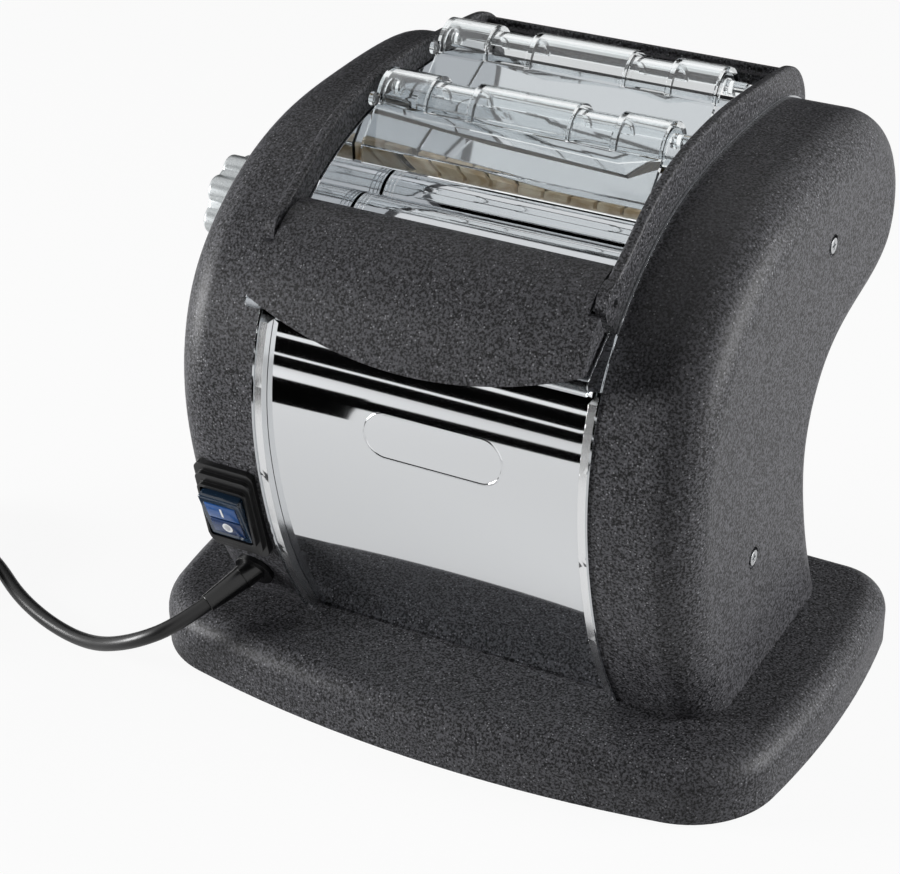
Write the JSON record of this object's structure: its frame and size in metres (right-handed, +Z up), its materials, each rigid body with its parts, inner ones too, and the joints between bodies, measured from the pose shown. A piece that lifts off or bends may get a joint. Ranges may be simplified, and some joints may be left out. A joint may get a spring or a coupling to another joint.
{
  "type": "electric pasta maker",
  "caption": "Motor-driven pasta maker with smooth and cutter rollers under lifting clear guards, a front flap, a thickness knob, a rocker switch and a heavy plinth.",
  "frame": {"origin": "on the table, under the middle of the machine's own box", "axes": "+Z up, +X to the operator's right along the rollers, +Y away from the operator"},
  "size_m": [0.5158, 0.335, 0.2748],
  "materials": {
    "textured_black": "fine textured black powder coat",
    "chrome": "mirror polished chrome plate",
    "polished_steel": "polished steel sheet",
    "zinc_steel": "zinc plated steel",
    "clear_polycarbonate": "clear moulded polycarbonate",
    "cream_nylon": "cream moulded nylon",
    "silver_plastic": "silver-grey satin plastic",
    "blue_rocker": "translucent blue plastic",
    "black_plastic": "black moulded plastic",
    "cord_pvc": "black pvc sheath",
    "rubber": "black rubber",
    "bronze": "sintered bronze",
    "gear_nylon": "white nylon",
    "gear_steel": "machined steel",
    "motor_case": "grey painted steel"
  },
  "bodies": {
    "frame": {"base_housing": "textured_black", "left_cover": "textured_black", "right_cover": "textured_black", "left_guard_rail": "textured_black", "right_guard_rail": "textured_black", "rear_guard_bar": "textured_black", "rear_panel": "textured_black", "front_panel": "chrome", "left_trim_strip": "chrome", "right_trim_strip": "chrome", "left_side_plate": "polished_steel", "right_side_plate": "polished_steel", "left_edge_plate": "polished_steel", "right_edge_plate": "polished_steel", "exit_tray": "polished_steel", "cover_screws": "polished_steel", "base_plate": "zinc_steel", "base_screws": "zinc_steel", "tie_rods": "zinc_steel", "frame_floor": "zinc_steel", "gear_axles": "zinc_steel", "gear_bridge": "zinc_steel", "cover_posts": "zinc_steel", "knob_bracket": "zinc_steel", "motor_bracket": "zinc_steel", "front_comb": "cream_nylon", "rear_comb": "cream_nylon", "switch_pod": "black_plastic", "switch_body": "black_plastic", "cable_gland": "black_plastic", "terminal_block": "black_plastic", "safety_switch": "black_plastic", "mains_plug": "black_plastic", "cord_tube": "cord_pvc", "cord_coil": "cord_pvc", "strain_relief": "cord_pvc", "rubber_feet": "rubber", "roller_bushes": "bronze", "motor_body": "motor_case", "run_capacitor": "motor_case"},
    "front_roller": {"front_smooth_roller": "chrome", "front_roller_gear": "gear_steel"},
    "rear_roller": {"rear_smooth_roller": "chrome", "rear_roller_gear": "gear_steel"},
    "bearing_carriage": {"bearing_blocks": "zinc_steel", "roller_link_bar": "polished_steel"},
    "front_cutter": {"front_cutter_roller": "chrome", "front_cutter_gear": "gear_steel"},
    "rear_cutter": {"rear_cutter_roller": "chrome", "rear_cutter_gear": "gear_steel"},
    "idler": {"idler_gear": "gear_nylon"},
    "reduction": {"reduction_gear": "gear_nylon"},
    "motor_rotor": {"motor_shaft": "zinc_steel"},
    "knob": {"thickness_knob": "silver_plastic", "knob_shaft": "zinc_steel"},
    "flap": {"front_flap": "textured_black", "flap_hinge_pins": "polished_steel"},
    "front_guard": {"front_clear_guard": "clear_polycarbonate"},
    "rear_guard": {"rear_clear_guard": "clear_polycarbonate"},
    "rocker_button": {"rocker": "blue_rocker"}
  },
  "joints": [
    {"name": "rear_roller_spin", "type": "hinge", "parent": "frame", "child": "rear_roller", "pos_m": [0, 0.0005, 0.205], "axis": [1, 0, 0], "continuous": true},
    {"name": "bearing_slide", "type": "slide", "parent": "frame", "child": "bearing_carriage", "axis": [0, -1, 0], "range_m": [0, 0.0022]},
    {"name": "front_roller_spin", "type": "hinge", "parent": "bearing_carriage", "child": "front_roller", "pos_m": [0, -0.028, 0.205], "axis": [1, 0, 0], "continuous": true},
    {"name": "idler_spin", "type": "hinge", "parent": "frame", "child": "idler", "pos_m": [0, 0.01867, 0.17134], "axis": [1, 0, 0], "continuous": true},
    {"name": "front_cutter_spin", "type": "hinge", "parent": "frame", "child": "front_cutter", "pos_m": [0, 0.0345, 0.202], "axis": [1, 0, 0], "continuous": true},
    {"name": "rear_cutter_spin", "type": "hinge", "parent": "frame", "child": "rear_cutter", "pos_m": [0, 0.0555, 0.202], "axis": [1, 0, 0], "continuous": true},
    {"name": "reduction_spin", "type": "hinge", "parent": "frame", "child": "reduction", "pos_m": [0, -0.00608, 0.14952], "axis": [1, 0, 0], "continuous": true},
    {"name": "motor_spin", "type": "hinge", "parent": "frame", "child": "motor_rotor", "pos_m": [0, -0.03039, 0.12434], "axis": [1, 0, 0], "continuous": true},
    {"name": "knob_turn", "type": "hinge", "parent": "frame", "child": "knob", "pos_m": [0, -0.028, 0.2], "axis": [1, 0, 0], "range_deg": [0, 150]},
    {"name": "flap_lift", "type": "hinge", "parent": "frame", "child": "flap", "pos_m": [0, -0.0881, 0.228], "axis": [-1, 0, 0], "range_deg": [0, 70]},
    {"name": "front_guard_lift", "type": "hinge", "parent": "frame", "child": "front_guard", "pos_m": [0, 0.0015, 0.2596], "axis": [-1, 0, 0], "range_deg": [0, 80]},
    {"name": "rear_guard_lift", "type": "hinge", "parent": "frame", "child": "rear_guard", "pos_m": [0, 0.056, 0.2638], "axis": [-1, 0, 0], "range_deg": [0, 80]},
    {"name": "rocker_tilt", "type": "hinge", "parent": "frame", "child": "rocker_button", "pos_m": [0, -0.10715, 0.09155], "axis": [-1, 0, 0], "range_deg": [0, 17]}
  ],
  "couplings": [
    {"joint": "front_roller_spin", "follows": "rear_roller_spin", "ratio": -1},
    {"joint": "idler_spin", "follows": "rear_roller_spin", "ratio": -0.59375},
    {"joint": "front_cutter_spin", "follows": "rear_roller_spin", "ratio": 1.3571},
    {"joint": "rear_cutter_spin", "follows": "rear_roller_spin", "ratio": -1.3571},
    {"joint": "reduction_spin", "follows": "rear_roller_spin", "ratio": 1.5833},
    {"joint": "motor_spin", "follows": "rear_roller_spin", "ratio": -5.8056},
    {"joint": "knob_turn", "follows": "bearing_slide", "rad_per_m": 1190}
  ]
}
